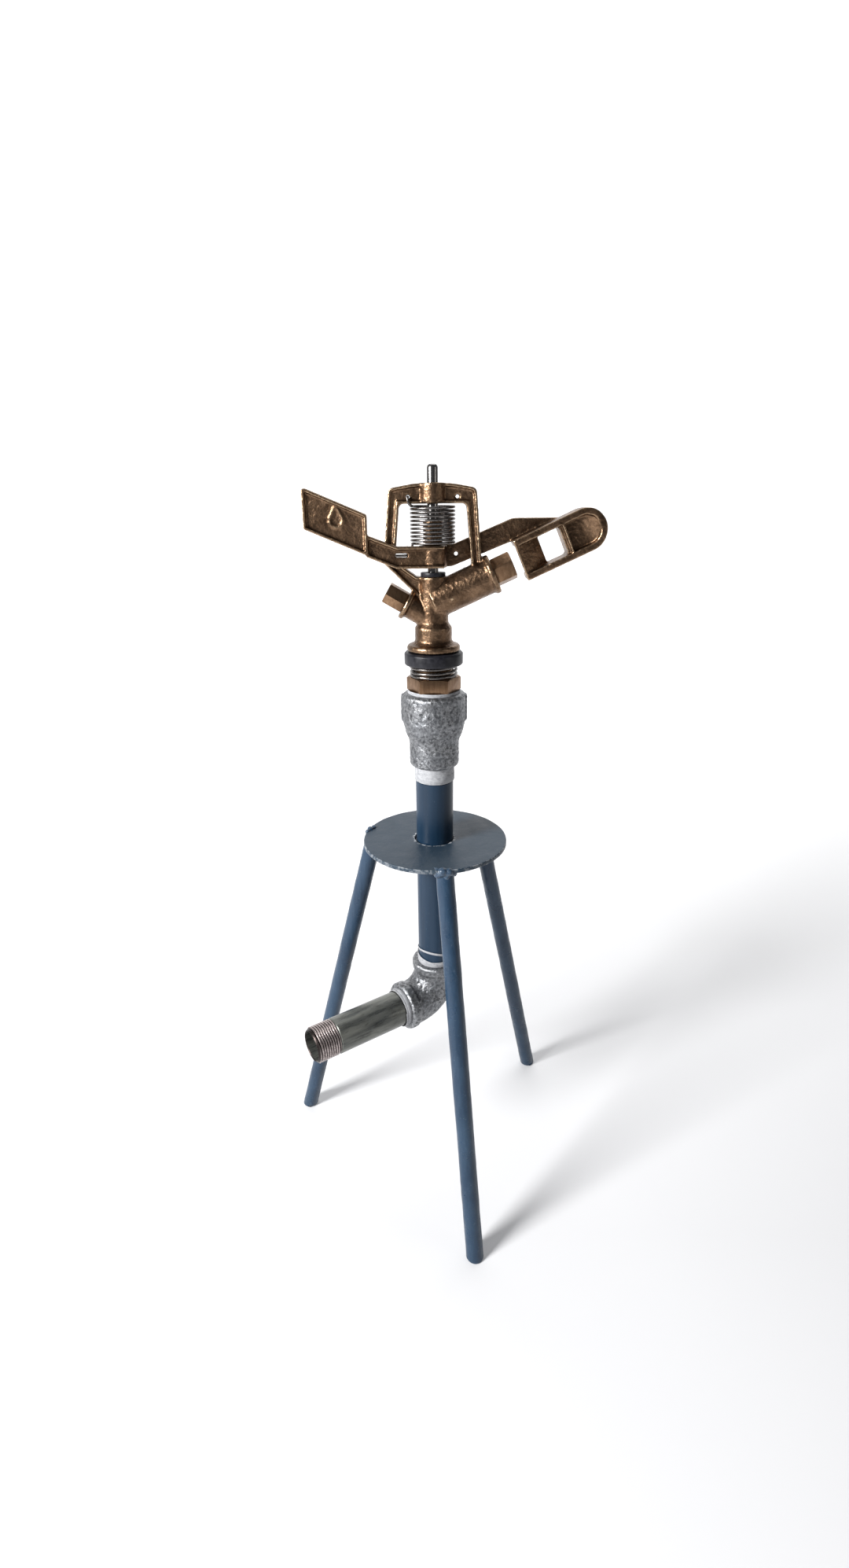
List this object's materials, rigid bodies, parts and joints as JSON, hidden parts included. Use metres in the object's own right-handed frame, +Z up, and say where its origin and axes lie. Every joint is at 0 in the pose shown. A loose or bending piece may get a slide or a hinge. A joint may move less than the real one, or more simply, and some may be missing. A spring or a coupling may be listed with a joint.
{
  "type": "impact sprinkler",
  "caption": "Brass impact sprinkler head with range and spreader nozzles on a riser pipe, carried by a welded tripod stand with a side inlet pipe.",
  "frame": {"origin": "on the ground, under the axis of the riser pipe", "axes": "+Z up along the riser, +X the way the range tube and main nozzle point, the spreader nozzle points to -X"},
  "size_m": [0.2322, 0.21, 0.537],
  "materials": {
    "stand_paint": "glossy dark steel-blue paint over steel",
    "weld_paint": "rough weld bead under the same paint",
    "galvanised_iron": "rough galvanised malleable iron",
    "plated_pipe": "dull zinc-plated pipe",
    "sealing_tape": "white thread sealing tape",
    "cast_brass": "rough cast brown brass",
    "machined_brass": "machined brass",
    "stainless": "bright stainless steel",
    "black_plastic": "black moulded plastic",
    "wear_plastic": "pale wear-resistant plastic",
    "seal_rubber": "soft black rubber"
  },
  "bodies": {
    "root": {"tripod_plate": "stand_paint", "leg_front": "stand_paint", "leg_right": "stand_paint", "leg_left": "stand_paint", "leg_welds": "weld_paint", "riser_weld": "weld_paint", "riser_pipe": "stand_paint", "elbow": "galvanised_iron", "inlet_pipe": "plated_pipe", "tape_inlet": "sealing_tape", "tape_riser_bottom": "sealing_tape", "tape_riser_top": "sealing_tape", "reducing_socket": "galvanised_iron", "tape_nipple": "sealing_tape", "bearing_nipple": "machined_brass", "upper_wear_washer": "wear_plastic", "seal_washer": "seal_rubber", "bearing_spring": "stainless"},
    "cap": {"spring_cap": "black_plastic"},
    "head": {"body_casting": "cast_brass", "bearing_tube": "machined_brass", "lower_wear_washer": "wear_plastic", "main_nozzle": "machined_brass", "spreader_nozzle": "machined_brass", "fulcrum_pin": "stainless", "arm_washer": "black_plastic", "arm_spring": "stainless"},
    "arm": {"arm": "cast_brass", "lower_arm_bush": "wear_plastic", "upper_arm_bush": "wear_plastic"}
  },
  "joints": [
    {"name": "bearing_float", "type": "slide", "parent": "root", "child": "cap", "axis": [0, 0, 1], "range_m": [-0.0015, 0], "stiffness_N_per_m": 4000, "springref_m": 0.008, "deforming": ["bearing_spring"]},
    {"name": "head_spin", "type": "hinge", "parent": "cap", "child": "head", "pos_m": [0, 0, 0.42], "axis": [0, 0, 1], "continuous": true},
    {"name": "arm_swing", "type": "hinge", "parent": "head", "child": "arm", "pos_m": [0, 0, 0.482], "axis": [0, 0, 1], "range_deg": [0, 135], "stiffness_Nm_per_rad": 0.068, "springref_deg": -57.3}
  ]
}
